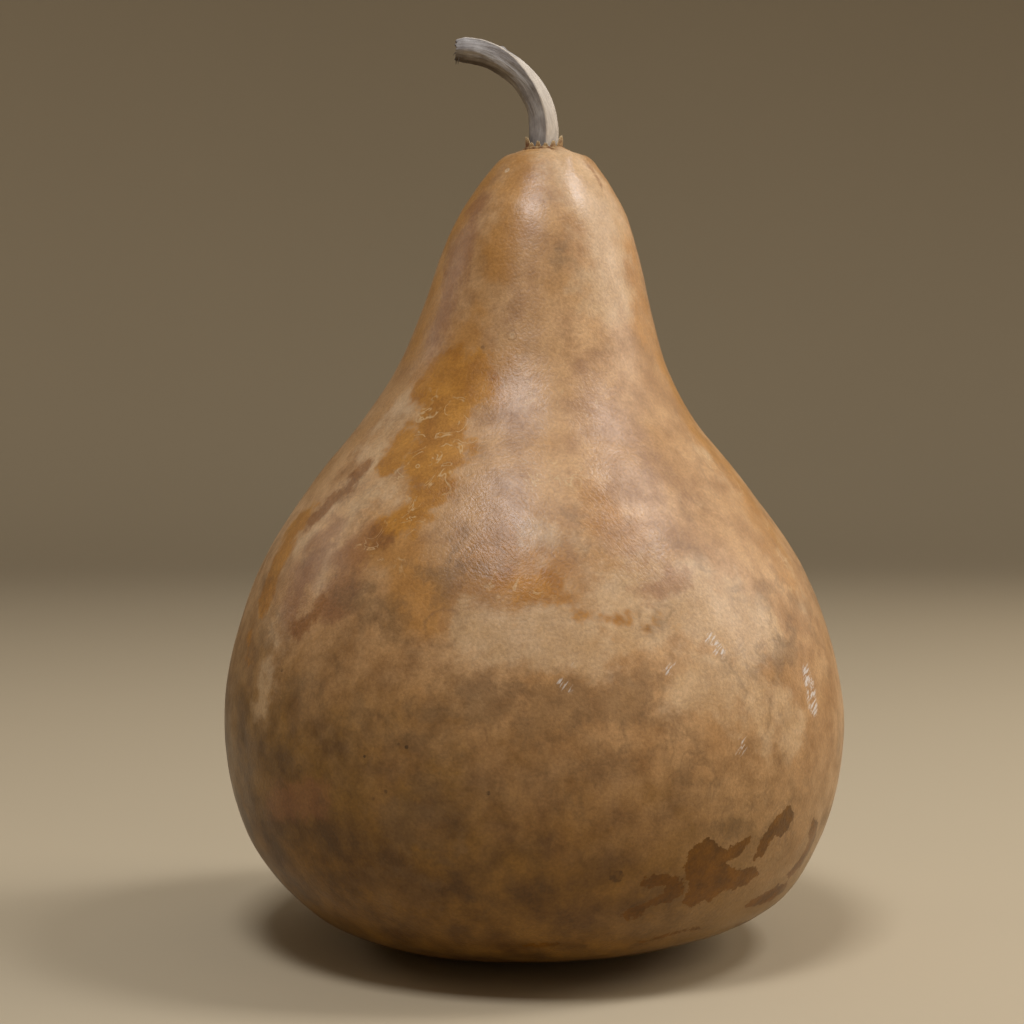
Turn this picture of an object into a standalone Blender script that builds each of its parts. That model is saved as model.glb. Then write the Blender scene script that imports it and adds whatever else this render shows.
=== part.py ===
"""A dried pear-shaped gourd that stands on the small flat spot under its belly.

It has three pieces: the fruit, the five-ridged stem that bends over to one side, and the
ragged collar of dry scales round the stem's foot. The origin is the centre of the flat spot.
+Z is up, and the stem bends towards -X.
"""
import math

import bmesh
import bpy
import numpy as np
from mathutils import Vector

MM = 0.001
GAP = 0.3 * MM                  # clearance between pieces that touch

# The fruit, from the rim of the flat spot up to the crown: (radius, height, lean) in mm.
# The lean is how far that cross-section's centre stands towards +X from the flat spot's.
OUTLINE = (
    (21.5, 0.0, 0.0),           # rim of the flat spot
    (37.0, 2.5, -3.5),          # underside
    (63.4, 12.3, 2.4),
    (77.1, 30.5, 1.5),          # low belly
    (83.1, 63.0, 1.4),          # belly, the widest place
    (73.6, 99.5, 0.8),          # high belly
    (56.7, 125.5, 0.0),         # shoulder
    (44.5, 140.7, 0.0),         # foot of the neck
    (36.7, 153.7, 0.9),         # waist
    (31.6, 167.1, 1.8),
    (25.9, 186.4, 2.8),         # neck
    (21.0, 197.9, 3.6),
    (10.6, 211.4, 4.4),         # crown
    (5.8, 212.0, 4.1),          # rim of the scar that carries the stem
)
RING_SPACING = 6.0 * MM         # between cross-sections, along the outline
BODY_SIDES = 64

# The cross-sections aren't quite round.
DEPTH_RATIO = 0.985             # front to back against side to side
LOBE_COUNT = 3                  # the three seed chambers show as broad lobes
LOBE_SWELL = 0.006              # of the radius

# The stem rises from the crown, then bends over in one round sweep.
CROWN_HEIGHT = OUTLINE[-1][1] * MM
STEM_LEAN = OUTLINE[-1][2] * MM
STEM_RISE = 4.0 * MM
STEM_BEND_RADIUS = 22.3 * MM
STEM_BEND = math.radians(86)
STEM_TAIL = 3.4 * MM
STEM_RADII = (                  # (share of the length, radius in mm)
    (0.0, 3.9),
    (0.25, 3.8),
    (0.6, 3.5),
    (0.85, 3.75),
    (0.95, 3.55),
    (1.0, 3.1),
)
STEM_RINGS = 20
STEM_SIDES = 25
STEM_RIDGES = 5
STEM_RIDGE_RISE = 0.07          # of the radius
STEM_RIDGE_TURN = math.radians(-79)

# The collar is a thin ring of dry scales, each one standing up to a point.
COLLAR_INNER = 4.6 * MM
COLLAR_OUTER = 5.6 * MM
COLLAR_LIP = 0.35 * MM          # thickness at the top of a scale
COLLAR_FLARE = 0.16             # outward for each unit of height
COLLAR_HEIGHT = 0.9 * MM
COLLAR_SIDES = 80
SCALES = (                      # (turn in degrees, rise in mm, half width in degrees)
    (-4, 2.9, 17),
    (44, 1.1, 20),
    (95, 1.9, 24),
    (141, 0.8, 15),
    (183, 2.6, 15),
    (219, 0.7, 12),
    (246, 1.2, 11),
    (272, 0.6, 9),
    (293, 1.4, 10),
    (322, 0.8, 12),
)


def clear_scene():
    """Remove whatever objects the scene starts with."""
    for obj in list(bpy.data.objects):
        bpy.data.objects.remove(obj, do_unlink=True)


def surface(name, colour, roughness):
    """A plain Principled material with a linear colour."""
    material = bpy.data.materials.new(name)
    material.use_nodes = True
    shader = material.node_tree.nodes["Principled BSDF"]
    shader.inputs["Base Color"].default_value = (*colour, 1.0)
    shader.inputs["Roughness"].default_value = roughness
    shader.inputs["Metallic"].default_value = 0.0
    return material


def smooth_curve(stations, per_span=24):
    """A dense centripetal Catmull-Rom curve through the stations, level where it starts."""
    points = np.array(stations, dtype=float)
    before = 2 * points[0] - points[1]
    before[1] = points[1][1]
    after = 2 * points[-1] - points[-2]
    points = np.vstack([before, points, after])
    dense = []
    for a, b, c, d in zip(points, points[1:], points[2:], points[3:]):
        t0 = 0.0
        t1 = t0 + math.sqrt(np.linalg.norm(b - a))
        t2 = t1 + math.sqrt(np.linalg.norm(c - b))
        t3 = t2 + math.sqrt(np.linalg.norm(d - c))
        for t in np.linspace(t1, t2, per_span, endpoint=False):
            ab = ((t1 - t) * a + (t - t0) * b) / (t1 - t0)
            bc = ((t2 - t) * b + (t - t1) * c) / (t2 - t1)
            cd = ((t3 - t) * c + (t - t2) * d) / (t3 - t2)
            abc = ((t2 - t) * ab + (t - t0) * bc) / (t2 - t0)
            bcd = ((t3 - t) * bc + (t - t1) * cd) / (t3 - t1)
            dense.append(((t2 - t) * abc + (t - t1) * bcd) / (t2 - t1))
    dense.append(points[-2])
    return np.array(dense)


def evenly_spaced(curve, spacing):
    """The curve's points again, about one spacing apart, with both ends kept."""
    steps = np.linalg.norm(np.diff(curve, axis=0), axis=1)
    along = np.concatenate([[0.0], np.cumsum(steps)])
    count = round(along[-1] / spacing) + 1
    wanted = np.linspace(0.0, along[-1], count)
    columns = [np.interp(wanted, along, column) for column in curve.T]
    return np.column_stack(columns)


def section_factor(turn):
    """How far a cross-section stands out from round, as a factor of its radius."""
    return 1 + LOBE_SWELL * math.sin(LOBE_COUNT * turn)


def skin(name, rings, material):
    """One closed body through the rings, each a list of points, with both ends capped."""
    bm = bmesh.new()
    loops = [[bm.verts.new(point) for point in ring] for ring in rings]
    for lower, upper in zip(loops, loops[1:]):
        for i, vertex in enumerate(lower):
            j = (i + 1) % len(lower)
            bm.faces.new((vertex, lower[j], upper[j], upper[i]))
    bm.faces.new(list(reversed(loops[0])))
    bm.faces.new(loops[-1])
    return finished_object(name, bm, material)


def finished_object(name, bm, material):
    """Turn a bmesh into a smooth-shaded object of the scene."""
    bmesh.ops.recalc_face_normals(bm, faces=bm.faces)
    mesh = bpy.data.meshes.new(name)
    bm.to_mesh(mesh)
    bm.free()
    mesh.shade_smooth()
    mesh.set_sharp_from_angle(angle=math.radians(40))
    mesh.materials.append(material)
    obj = bpy.data.objects.new(name, mesh)
    bpy.context.scene.collection.objects.link(obj)
    return obj


def build_body():
    """The fruit: cross-sections up the outline, flat on the spot that it stands on."""
    curve = smooth_curve(OUTLINE) * MM
    rings = []
    for radius, height, lean in evenly_spaced(curve, RING_SPACING):
        ring = []
        for i in range(BODY_SIDES):
            turn = math.tau * i / BODY_SIDES
            reach = radius * section_factor(turn)
            x = lean + reach * math.cos(turn)
            y = DEPTH_RATIO * reach * math.sin(turn)
            ring.append(Vector((x, y, height)))
        rings.append(ring)
    return skin("gourd_body", rings, surface("rind", (0.38, 0.21, 0.09), 0.42))


def stem_centre(share):
    """The stem's centre line: its point and direction at a share of its length."""
    sweep = STEM_BEND_RADIUS * STEM_BEND
    along = share * (STEM_RISE + sweep + STEM_TAIL)
    bend = min(max((along - STEM_RISE) / STEM_BEND_RADIUS, 0.0), STEM_BEND)
    direction = Vector((-math.sin(bend), 0.0, math.cos(bend)))
    x = -STEM_BEND_RADIUS * (1 - math.cos(bend))
    z = min(along, STEM_RISE) + STEM_BEND_RADIUS * math.sin(bend)
    straight = max(along - STEM_RISE - sweep, 0.0)
    foot = Vector((STEM_LEAN, 0.0, CROWN_HEIGHT + GAP))
    return foot + Vector((x, 0.0, z)) + straight * direction, direction


def build_stem():
    """The stem: a five-ridged section swept along its centre line."""
    shares = [share for share, _ in STEM_RADII]
    radii = [radius * MM for _, radius in STEM_RADII]
    across = Vector((0.0, 1.0, 0.0))
    rings = []
    for step in range(STEM_RINGS + 1):
        share = step / STEM_RINGS
        centre, direction = stem_centre(share)
        outward = across.cross(direction)
        radius = float(np.interp(share, shares, radii))
        ring = []
        for i in range(STEM_SIDES):
            turn = math.tau * i / STEM_SIDES
            ridge = STEM_RIDGE_RISE * math.cos(STEM_RIDGES * (turn - STEM_RIDGE_TURN))
            reach = radius * (1 + ridge)
            ring.append(centre + reach * (math.cos(turn) * outward + math.sin(turn) * across))
        rings.append(ring)
    return skin("stem", rings, surface("dry_stem", (0.34, 0.31, 0.27), 0.8))


def scale_rise(degrees):
    """How high the collar's edge stands at a turn: its base, and the tallest scale there."""
    tallest = 0.0
    for middle, rise, half_width in SCALES:
        away = abs((degrees - middle + 180) % 360 - 180)
        tallest = max(tallest, rise * MM * (1 - away / half_width))
    return COLLAR_HEIGHT + tallest


def build_collar():
    """The collar: a four-cornered section carried round the stem, as tall as its scales."""
    base = CROWN_HEIGHT + GAP
    bm = bmesh.new()
    sections = []
    for i in range(COLLAR_SIDES):
        turn = math.tau * i / COLLAR_SIDES
        height = scale_rise(math.degrees(turn))
        top = COLLAR_INNER + COLLAR_FLARE * height
        corners = (
            (COLLAR_INNER, base),
            (COLLAR_OUTER, base),
            (top + COLLAR_LIP, base + height),
            (top, base + height),
        )
        section = []
        for radius, z in corners:
            place = (STEM_LEAN + radius * math.cos(turn), radius * math.sin(turn), z)
            section.append(bm.verts.new(place))
        sections.append(section)
    for here, there in zip(sections, sections[1:] + sections[:1]):
        for k, vertex in enumerate(here):
            n = (k + 1) % len(here)
            bm.faces.new((vertex, here[n], there[n], there[k]))
    return finished_object("stem_collar", bm, surface("dry_scales", (0.2, 0.11, 0.055), 0.85))


clear_scene()
build_body()
build_stem()
build_collar()
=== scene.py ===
"""The finished look of a dried pear gourd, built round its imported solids.

The frame gives every place: the fruit's fine skin runs through the cross-sections of its solid,
and the stem and the collar of dry scales stand where theirs stand. Lengths in the classes are in
millimetres, turns are degrees round the upright axis, and the front is at a turn of -90.
"""
from __future__ import annotations

import logging
import math
from dataclasses import dataclass, field
from enum import Enum
from typing import Any, Optional

import bpy
import numpy as np
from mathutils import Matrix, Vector, noise
from mathutils.bvhtree import BVHTree


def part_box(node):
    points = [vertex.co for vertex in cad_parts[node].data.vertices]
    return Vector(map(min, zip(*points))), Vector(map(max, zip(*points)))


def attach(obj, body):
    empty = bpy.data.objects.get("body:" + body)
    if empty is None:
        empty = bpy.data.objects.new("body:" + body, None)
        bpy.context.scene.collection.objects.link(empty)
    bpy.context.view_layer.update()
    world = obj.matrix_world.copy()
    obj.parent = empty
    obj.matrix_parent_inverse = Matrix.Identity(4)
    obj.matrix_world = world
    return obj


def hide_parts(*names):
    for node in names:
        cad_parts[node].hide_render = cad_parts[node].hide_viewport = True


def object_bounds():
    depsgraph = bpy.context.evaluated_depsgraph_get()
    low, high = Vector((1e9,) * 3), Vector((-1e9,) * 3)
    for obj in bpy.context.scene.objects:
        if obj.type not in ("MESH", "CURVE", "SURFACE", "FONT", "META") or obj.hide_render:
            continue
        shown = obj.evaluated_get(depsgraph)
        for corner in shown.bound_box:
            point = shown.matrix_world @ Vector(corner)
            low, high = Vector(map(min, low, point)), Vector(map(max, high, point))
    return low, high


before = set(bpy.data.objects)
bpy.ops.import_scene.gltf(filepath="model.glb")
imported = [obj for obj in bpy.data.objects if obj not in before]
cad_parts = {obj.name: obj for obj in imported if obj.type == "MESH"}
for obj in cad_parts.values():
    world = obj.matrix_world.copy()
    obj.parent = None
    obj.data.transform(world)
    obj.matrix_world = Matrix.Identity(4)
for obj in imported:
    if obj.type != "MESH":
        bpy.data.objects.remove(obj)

CAD_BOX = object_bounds()
MM = 0.001
SEED = 11
FAR_OUT = 40.0               # mm, where a stain's depth is no longer measured
ACROSS = np.array([0.0, 1.0, 0.0])      # from the front to the back
UP = np.array([0.0, 0.0, 1.0])
Faces = list[tuple[int, ...]]
LOG = logging.getLogger("gourd")


# ---------------------------------------------------------------- numbers and noise

def linear(hex_colour: str) -> tuple[float, float, float, float]:
    """Turn an sRGB hex colour into a linear one.

    Args:
        hex_colour: Six hex digits after a #.

    Returns:
        Red, green, blue and an alpha of 1.
    """
    parts = [int(hex_colour[i:i + 2], 16) / 255 for i in (1, 3, 5)]
    bent = [p / 12.92 if p <= 0.04045 else ((p + 0.055) / 1.055) ** 2.4 for p in parts]
    return (*bent, 1.0)


def rough_noise(points: np.ndarray, size: float, octaves: int = 3, seed: float = 0.0) -> np.ndarray:
    """Smooth random values of about -1 to 1 at points in space.

    Args:
        points: Places in mm, in an array of any shape whose last axis is x, y and z.
        size: The width of the largest lumps in mm.
        octaves: How many finer sizes are added.
        seed: Shifts the pattern, so that two of them differ.

    Returns:
        One value for each point.
    """
    places = (points / size + seed * 7.31).reshape(-1, 3).tolist()
    values = [noise.fractal(place, 0.9, 2.0, octaves) for place in places]
    return np.array(values).reshape(points.shape[:-1])


def ramp(values: np.ndarray, start: float, end: float) -> np.ndarray:
    """A smooth step, which may also run downward.

    Args:
        values: Any numbers.
        start: Where the step leaves 0.
        end: Where it reaches 1.

    Returns:
        One number from 0 to 1 for each value.
    """
    t = np.clip((values - start) / (end - start), 0.0, 1.0)
    return t * t * (3 - 2 * t)


def refine(rows: np.ndarray, count: int, closed: bool) -> np.ndarray:
    """More rows along a uniform Catmull-Rom curve through the given ones.

    Args:
        rows: Any array whose first axis runs along the curve.
        count: How many rows are wanted.
        closed: Whether the last row joins the first.

    Returns:
        The new rows, with both ends kept on an open curve.
    """
    if closed:
        ahead = np.concatenate([rows[-1:], rows, rows[:2]])
        places = np.linspace(0, len(rows), count, endpoint=False)
    else:
        ahead = np.concatenate([2 * rows[:1] - rows[1:2], rows, 2 * rows[-1:] - rows[-2:-1]])
        places = np.linspace(0, len(rows) - 1, count)
    first = np.minimum(places.astype(int), len(ahead) - 4)
    t = (places - first).reshape((-1,) + (1,) * (rows.ndim - 1))
    a, b, c, d = (ahead[first + k] for k in range(4))
    cubic = 2 * b + (c - a) * t + (2 * a - 5 * b + 4 * c - d) * t ** 2
    return 0.5 * (cubic + (3 * b - a - 3 * c + d) * t ** 3)


# ---------------------------------------------------------------- meshes

def new_mesh(name: str, points: np.ndarray, faces: Faces) -> bpy.types.Object:
    """Make a smooth-shaded object.

    Args:
        name: The piece's name.
        points: Places in mm.
        faces: Corner indices, turning outward.

    Returns:
        The object, linked to the scene.
    """
    mesh = bpy.data.meshes.new(name)
    mesh.from_pydata((points * MM).tolist(), [], faces)
    mesh.validate()
    mesh.shade_smooth()
    piece = bpy.data.objects.new(name, mesh)
    bpy.context.scene.collection.objects.link(piece)
    return piece


def tube_faces(rows: int, columns: int) -> Faces:
    """Quads between closed rows of equal length, wound outward when they climb.

    Args:
        rows: How many rows of points there are.
        columns: How many points a row has.

    Returns:
        The quads, as numbers of points that follow each other row by row.
    """
    faces = []
    for row in range(rows - 1):
        low, high = row * columns, (row + 1) * columns
        for column in range(columns):
            following = (column + 1) % columns
            faces.append((low + column, low + following, high + following, high + column))
    return faces


def closed_faces(rows: int, columns: int) -> Faces:
    """The faces of a tube with a fan at each end, for the points that with_ends gives.

    Args:
        rows: How many rows of points there are.
        columns: How many points a row has.

    Returns:
        The faces of the closed tube.
    """
    faces = tube_faces(rows, columns)
    first_end = rows * columns
    last_row = first_end - columns
    for column in range(columns):
        following = (column + 1) % columns
        faces.append((first_end, following, column))
        faces.append((first_end + 1, last_row + column, last_row + following))
    return faces


def with_ends(grid: np.ndarray) -> np.ndarray:
    """List a grid's points row by row, and after them the middles of its first and last row."""
    return np.concatenate([grid.reshape(-1, 3), [grid[0].mean(axis=0), grid[-1].mean(axis=0)]])


def renumbered(faces: Faces, start: int) -> Faces:
    """Renumber the corners of faces whose points come after start others."""
    return [tuple(start + corner for corner in face) for face in faces]


def set_field(piece: bpy.types.Object, name: str, values: np.ndarray) -> None:
    """Store one number a vertex, or one vector a vertex, on a mesh.

    Args:
        piece: The object.
        name: What the materials call the field.
        values: The numbers, or the vectors one a row.
    """
    kind, key = ("FLOAT", "value") if values.ndim == 1 else ("FLOAT_VECTOR", "vector")
    attribute = piece.data.attributes.new(name, kind, "POINT")
    attribute.data.foreach_set(key, values.astype(np.float32).ravel())


def fit_to_body(piece: bpy.types.Object, node: str) -> None:
    """Fix a piece to the one body, and let it stand for its node.

    Args:
        piece: The finished piece.
        node: The solid that it replaces.
    """
    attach(piece, "root")
    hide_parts(node)
    LOG.info("%s: %d vertices", piece.name, len(piece.data.vertices))


# ---------------------------------------------------------------- materials

class Recipe:
    """A material's node tree while it is being written."""

    def __init__(self, name: str) -> None:
        """Start a material, and find the place of every point in mm.

        Args:
            name: What the material is called.
        """
        self.material = bpy.data.materials.new(name)
        self.material.use_nodes = True
        self.tree = self.material.node_tree
        self.shader = self.tree.nodes["Principled BSDF"]
        metres = self.add("TexCoord", out="Object")
        self.place = self.add("VectorMath", {0: metres, "Scale": 1 / MM}, operation="SCALE")

    def add(
        self,
        kind: str,
        inputs: Optional[dict[Any, Any]] = None,
        out: Optional[str] = None,
        **settings: Any,
    ) -> bpy.types.NodeSocket:
        """Add a node, set what it is told and link what it is given.

        Args:
            kind: The node's type without its ShaderNode prefix. A pattern reads the place in mm.
            inputs: Socket name or number, and for it a value, a hex colour or another output.
            out: The output that is wanted, or the first one.
            **settings: The node's own properties.

        Returns:
            The wanted output of the new node.
        """
        node = self.tree.nodes.new("ShaderNode" + kind)
        for key, value in settings.items():
            setattr(node, key, value)
        given = dict(inputs or {})
        if kind.startswith("Tex") and kind != "TexCoord":
            given.setdefault("Vector", self.place)
        for key, value in given.items():
            named = [socket for socket in node.inputs if socket.enabled and socket.name == key]
            socket = named[0] if named else node.inputs[key]
            if isinstance(value, bpy.types.NodeSocket):
                self.tree.links.new(value, socket)
            else:
                socket.default_value = linear(value) if isinstance(value, str) else value
        shown = [socket for socket in node.outputs if socket.enabled]
        return next((socket for socket in shown if socket.name == out), shown[0])

    def lines(
        self, pattern: bpy.types.NodeSocket, outer: float, inner: float, strength: float = 1.0
    ) -> bpy.types.NodeSocket:
        """Draw thin lines where a noise pattern crosses its middle value.

        Args:
            pattern: The noise, from 0 to 1.
            outer: How far from its middle value a line has faded out.
            inner: How far from it a line is still whole.
            strength: How strong a whole line is.

        Returns:
            The strength of the lines.
        """
        away = self.add("Math", {0: pattern, 1: 0.5}, operation="SUBTRACT")
        away = self.add("Math", {0: away}, operation="ABSOLUTE")
        return self.add("MapRange", {"Value": away, "From Min": outer, "From Max": inner,
                                     "To Max": strength})

    def finish(self, **sockets: Any) -> bpy.types.Material:
        """Give the shader its inputs and hand the material over.

        Args:
            **sockets: Shader inputs, with _ for a space, and a value or an output for each.

        Returns:
            The material.
        """
        for key, value in sockets.items():
            socket = self.shader.inputs[key.replace("_", " ")]
            if isinstance(value, bpy.types.NodeSocket):
                self.tree.links.new(value, socket)
            else:
                socket.default_value = value
        return self.material


# ---------------------------------------------------------------- what lies on the rind

class Stain(Enum):
    """What can lie on or in the rind. The value is the name of its field on the mesh."""

    BUFF = "buff"            # pale places where the skin dried clean; on the right, partly painted light
    MAUVE = "mauve"          # dull pinkish brown bruises; on the left of the neck, partly a painted reflection
    MOULD = "mould"          # grey mould that stained the skin while it dried
    HONEY = "honey"          # golden places where the skin is thin
    AMBER = "amber"          # clear orange skin with resin in it
    UMBER = "umber"          # brown smears
    VEINS = "veins"          # fine cream lines left by mould threads
    BARE = "bare"            # dark flakes of the first skin that still cling on
    SCUFF = "scuff"          # white scratches
    PUCKER = "pucker"        # fine wrinkles where the skin shrank


@dataclass(frozen=True)
class Stroke:
    """One stain: its half width in mm and its path over the skin as (turn, height) pairs."""

    kind: Stain
    half_width: float
    path: tuple[tuple[float, float], ...]


@dataclass(frozen=True)
class Patch:
    """One stain with an outline of its own, as (turn, height) pairs."""

    kind: Stain
    outline: tuple[tuple[float, float], ...]


STROKES = (
    # gold on the crown, down both edges of the neck and round the resin patch
    Stroke(Stain.HONEY, 6.0, ((-101, 208), (-102, 200), (-105, 194), (-103, 184))),
    Stroke(Stain.HONEY, 4.5, ((-156, 206), (-160, 196), (-160, 184), (-158, 172), (-160, 160))),
    Stroke(Stain.HONEY, 5.5, ((-119, 163), (-128, 157), (-134, 151))),
    Stroke(Stain.HONEY, 6.0, ((-118, 150), (-108, 148))),
    Stroke(Stain.HONEY, 4.0, ((-112, 158), (-102, 156))),
    Stroke(Stain.HONEY, 6.0, ((-26, 184), (-24, 170), (-19, 155), (-15, 145), (-19, 132))),
    Stroke(Stain.HONEY, 5.5, ((-16, 128), (-19, 120), (-21, 110), (-24, 100))),
    Stroke(Stain.HONEY, 7.0, ((-98, 106), (-88, 104))),
    Stroke(Stain.HONEY, 8.0, ((-124, 112), (-116, 108), (-112, 98))),
    Stroke(Stain.HONEY, 4.0, ((-74, 121), (-71, 116))),
    # resin: the big patch on the left shoulder with its lobe, and small spots
    Stroke(Stain.AMBER, 9.0, ((-126, 151), (-118, 150), (-121, 143), (-121, 136), (-117, 131))),
    Stroke(Stain.AMBER, 4.5, ((-131, 130), (-132, 134))),
    Stroke(Stain.AMBER, 4.5, ((-112, 124), (-118, 119), (-123, 116))),
    Stroke(Stain.AMBER, 5.2, ((-157, 113), (-156, 105), (-156, 96))),
    Stroke(Stain.AMBER, 1.2, ((-159, 84), (-156, 79))),
    Stroke(Stain.AMBER, 3.4, ((-94, 104), (-90, 102), (-87, 99))),
    Stroke(Stain.AMBER, 1.7, ((-83, 93.5), (-80, 95))),
    Stroke(Stain.AMBER, 1.7, ((-78, 94), (-74, 93.5), (-71, 94))),
    Stroke(Stain.AMBER, 0.7, ((-69, 94), (-67.5, 91.5), (-65, 91), (-63, 94))),
    Stroke(Stain.AMBER, 0.8, ((-81, 91), (-78, 90.5), (-75, 90))),
    # brown smears on the left shoulder and flank
    Stroke(Stain.UMBER, 3.4, ((-144, 129), (-146, 122), (-150, 115))),
    Stroke(Stain.UMBER, 2.4, ((-135, 97), (-137, 93), (-139, 89))),
    Stroke(Stain.UMBER, 2.6, ((-125, 115), (-122, 111))),
    Stroke(Stain.UMBER, 0.5, ((-34, 209), (-31, 206), (-30, 203))),
    # bruises, and on the left of the neck partly a painted reflection
    Stroke(Stain.MAUVE, 5.5, ((-140, 112), (-142, 104), (-145, 96))),
    Stroke(Stain.MAUVE, 5.5, ((-127, 113), (-131, 106), (-129, 97))),
    # partly a painted reflection: the soft sheen on the left of the neck
    Stroke(Stain.MAUVE, 4.5, ((-137, 196), (-138, 180), (-140, 162))),
    Stroke(Stain.MAUVE, 4.0, ((-66, 101), (-61, 104))),
    Stroke(Stain.MAUVE, 6.0, ((-132, 48), (-142, 46))),
    # pale places
    Stroke(Stain.BUFF, 3.6, ((-142, 145), (-144, 136), (-140, 126), (-146, 119), (-149, 110))),
    Stroke(Stain.BUFF, 2.6, ((-129, 124), (-135, 120), (-137, 111), (-136, 102))),
    Stroke(Stain.BUFF, 3.0, ((-148, 90), (-146, 80), (-146, 71))),
    Stroke(Stain.BUFF, 7.0, ((-100, 91), (-90, 89), (-80, 87))),
    Stroke(Stain.BUFF, 3.5, ((-90, 113), (-86, 111))),
    Stroke(Stain.BUFF, 3.2, ((-73, 102), (-70, 100))),
    Stroke(Stain.BUFF, 4.0, ((-50, 92), (-43, 94), (-41, 86))),
    Stroke(Stain.BUFF, 1.4, ((-28, 132), (-26, 127))),
    Stroke(Stain.BUFF, 1.4, ((-22, 101), (-24, 94))),
    # these three are partly painted light: cream on the crown's right and sheen on the right side
    Stroke(Stain.BUFF, 8.0, ((-50, 207), (-42, 199), (-42, 186), (-50, 172))),
    Stroke(Stain.BUFF, 11.5, ((-72, 97), (-58, 98), (-48, 90))),
    Stroke(Stain.BUFF, 7.0, ((-62, 78), (-52, 74), (-40, 66))),
    # grey mould
    Stroke(Stain.MOULD, 3.6, ((-127, 98), (-121, 94), (-117, 95))),
    Stroke(Stain.MOULD, 3.5, ((-111, 105), (-106, 102))),
    Stroke(Stain.MOULD, 5.0, ((-100, 75), (-94, 73), (-84, 74), (-72, 77))),
    Stroke(Stain.MOULD, 4.0, ((-122, 72), (-118, 67))),
    Stroke(Stain.MOULD, 3.0, ((-109, 72), (-106, 71))),
    Stroke(Stain.MOULD, 3.0, ((-138, 75), (-132, 73))),
    Stroke(Stain.MOULD, 4.5, ((-40, 82), (-36, 85))),
    Stroke(Stain.MOULD, 1.2, ((-116, 62.5), (-113, 65), (-108, 67))),
    Stroke(Stain.MOULD, 1.6, ((-114, 60.5), (-116, 58.5))),
    Stroke(Stain.MOULD, 6.0, ((-111, 28), (-121, 28))),
    Stroke(Stain.MOULD, 6.0, ((-113, 47), (-106, 44))),
    Stroke(Stain.MOULD, 1.2, ((-76, 184), (-74, 179))),
    # threads of mould
    Stroke(Stain.VEINS, 3.5, ((-89, 154), (-88, 148), (-85, 147))),
    Stroke(Stain.VEINS, 3.5, ((-72, 152), (-68, 146))),
    Stroke(Stain.VEINS, 3.0, ((-104, 148), (-101, 149))),
    Stroke(Stain.VEINS, 9.0, ((-122, 142), (-116, 132), (-120, 122))),
    Stroke(Stain.VEINS, 4.0, ((-125, 114), (-120, 107))),
    Stroke(Stain.VEINS, 4.0, ((-87, 127), (-80, 126))),
    Stroke(Stain.VEINS, 3.0, ((-28, 132), (-19, 121), (-24, 99))),
    Stroke(Stain.VEINS, 3.0, ((-94, 103), (-90, 100))),
    # small flakes of first skin round the foot, and the edge of a large one on the right
    Stroke(Stain.BARE, 0.7, ((-66, 14.5), (-62, 15), (-57, 16), (-51, 15))),
    Stroke(Stain.BARE, 0.9, ((-36, 12.5), (-31, 12))),
    Stroke(Stain.BARE, 0.9, ((-91, 14.3), (-85, 15))),
    # scratches
    Stroke(Stain.SCUFF, 1.9, ((-56.5, 88), (-55, 85))),
    Stroke(Stain.SCUFF, 1.3, ((-65.5, 82.5), (-66.5, 81.5))),
    Stroke(Stain.SCUFF, 0.9, ((-83, 84),)),
    Stroke(Stain.SCUFF, 1.2, ((-85, 79.5), (-84, 78))),
    Stroke(Stain.SCUFF, 2.8, ((-31, 77), (-31, 69))),
    Stroke(Stain.SCUFF, 1.3, ((-52, 63.5), (-53, 60.5))),
    # wrinkles
    Stroke(Stain.PUCKER, 8.0, ((-107, 123), (-98, 112))),
    Stroke(Stain.PUCKER, 7.0, ((-70, 124), (-66, 108))),
)
PATCHES = (
    # flakes of first skin at the lower right
    Patch(Stain.BARE, ((-62, 37.5), (-61, 39.5), (-59, 41), (-56.5, 39.5), (-54, 37), (-50, 39),
                       (-47.5, 39.5), (-50, 35.5), (-53, 34), (-50.5, 31.5), (-45, 31.5), (-42.5, 28.5),
                       (-45.5, 26), (-51, 26), (-54, 23), (-55, 24.5), (-58, 22.5), (-60.5, 25),
                       (-60, 28.5), (-62, 32))),
    Patch(Stain.BARE, ((-70.5, 31), (-69, 32.5), (-66, 33), (-62.5, 31), (-61, 27.5), (-63.5, 24.5),
                       (-67, 25), (-68.5, 22.5), (-71, 21), (-73, 22.5), (-71, 25), (-68, 26), (-65, 27.5),
                       (-65.5, 29.3), (-67.5, 30), (-69, 29))),
    Patch(Stain.BARE, ((-39, 46), (-36.5, 43), (-37, 40), (-38.5, 38), (-41.5, 38.5), (-43, 36),
                       (-43.5, 33.5), (-46, 33), (-45.5, 37), (-44.5, 40), (-42.5, 43.5))),
    Patch(Stain.BARE, ((-27.5, 40), (-24, 38.5), (-21, 33), (-23, 27.5), (-28, 24), (-31, 25.5),
                       (-27, 29.5), (-26, 33.5), (-28, 36))),
    Patch(Stain.BARE, ((-42, 20.5), (-38, 22), (-33, 23.5), (-28, 23), (-26, 20.5), (-31, 18.5),
                       (-37, 18.5), (-41, 18.8))),
)


@dataclass(frozen=True)
class Scatter:
    """Stains of one kind strewn over the far side: their count, heights, half widths, length."""

    kind: Stain
    count: int
    heights: tuple[float, float]
    half_widths: tuple[float, float]
    length: float


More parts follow.
